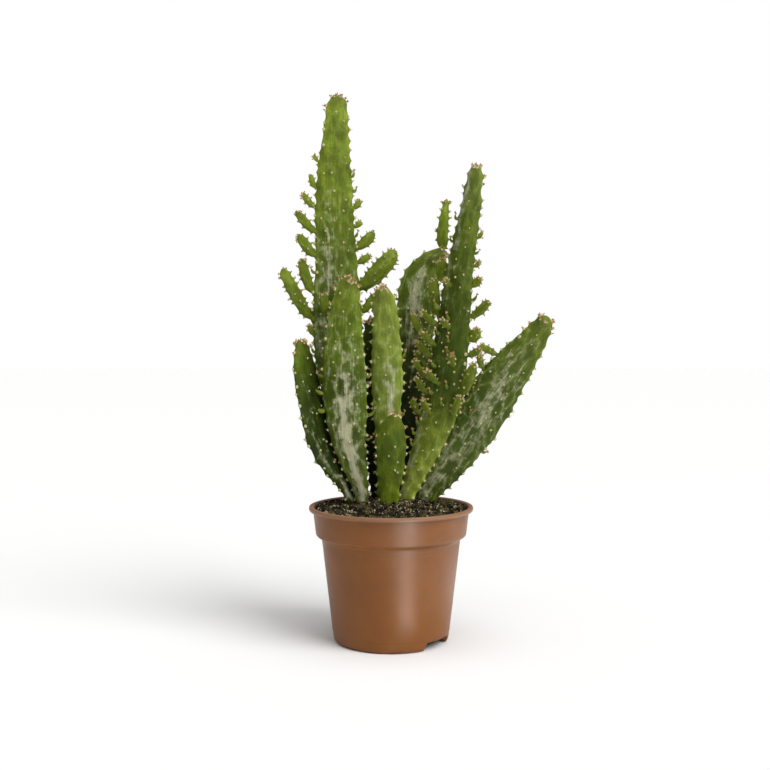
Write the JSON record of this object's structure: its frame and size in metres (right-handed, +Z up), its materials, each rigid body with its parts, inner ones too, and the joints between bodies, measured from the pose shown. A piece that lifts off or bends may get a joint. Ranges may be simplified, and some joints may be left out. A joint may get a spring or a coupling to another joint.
{
  "type": "potted paddle cactus",
  "caption": "Young flat-jointed cactus with tall and leaning pads and small offset pads on their edges, standing in soil in a tapered plastic nursery pot.",
  "frame": {"origin": "centre of the pot's underside, on the surface it stands on", "axes": "+Z up through the pot's axis, -Y towards the front of the plant, +X towards the big leaning pad"},
  "size_m": [0.1984, 0.12, 0.403],
  "materials": {
    "pot_plastic": "satin, thin moulded plastic",
    "potting_soil": null,
    "pad_skin": "waxy green skin with pale grey-green marbling and cream areoles",
    "offset_skin": "waxy lighter green skin with cream and pink-brown areoles"
  },
  "bodies": {
    "root": {"back_pad": "pad_skin", "back_pad_offset_01": "offset_skin", "front_left_pad": "pad_skin", "inner_pad": "pad_skin", "leaning_right_pad": "pad_skin", "leaning_right_pad_offset_01": "offset_skin", "leaning_right_pad_offset_02": "offset_skin", "middle_pad": "pad_skin", "nursery_pot": "pot_plastic", "outer_left_pad": "pad_skin", "potting_soil": "potting_soil", "small_front_pad": "pad_skin", "tall_left_stem": "pad_skin", "tall_left_stem_offset_01": "offset_skin", "tall_left_stem_offset_02": "offset_skin", "tall_left_stem_offset_03": "offset_skin", "tall_left_stem_offset_04": "offset_skin", "tall_left_stem_offset_05": "offset_skin", "tall_left_stem_offset_06": "offset_skin", "tall_left_stem_offset_07": "offset_skin", "tall_left_stem_offset_08": "offset_skin", "tall_left_stem_offset_09": "offset_skin", "tall_left_stem_offset_10": "offset_skin", "tall_left_stem_offset_11": "offset_skin", "tall_left_stem_offset_12": "offset_skin", "tall_left_stem_offset_13": "offset_skin", "tall_left_stem_offset_14": "offset_skin", "tall_left_stem_offset_15": "offset_skin", "tall_left_stem_offset_16": "offset_skin", "tall_left_stem_offset_17": "offset_skin", "tall_right_stem": "pad_skin", "tall_right_stem_offset_01": "offset_skin", "tall_right_stem_offset_02": "offset_skin", "tall_right_stem_offset_03": "offset_skin", "tall_right_stem_offset_04": "offset_skin", "tall_right_stem_offset_05": "offset_skin", "tall_right_stem_offset_06": "offset_skin", "tall_right_stem_offset_07": "offset_skin", "tall_right_stem_offset_08": "offset_skin", "tall_right_stem_offset_09": "offset_skin", "tall_right_stem_offset_10": "offset_skin", "tall_right_stem_offset_11": "offset_skin", "tall_right_stem_offset_12": "offset_skin", "tall_right_stem_offset_13": "offset_skin", "tall_right_stem_offset_14": "offset_skin", "tall_right_stem_offset_15": "offset_skin", "tall_right_stem_offset_16": "offset_skin", "tall_right_stem_offset_17": "offset_skin", "tall_right_stem_offset_18": "offset_skin", "tall_right_stem_offset_19": "offset_skin", "tall_right_stem_offset_20": "offset_skin", "tall_right_stem_offset_21": "offset_skin", "tall_right_stem_offset_22": "offset_skin", "tall_right_stem_offset_23": "offset_skin"}
  },
  "joints": []
}
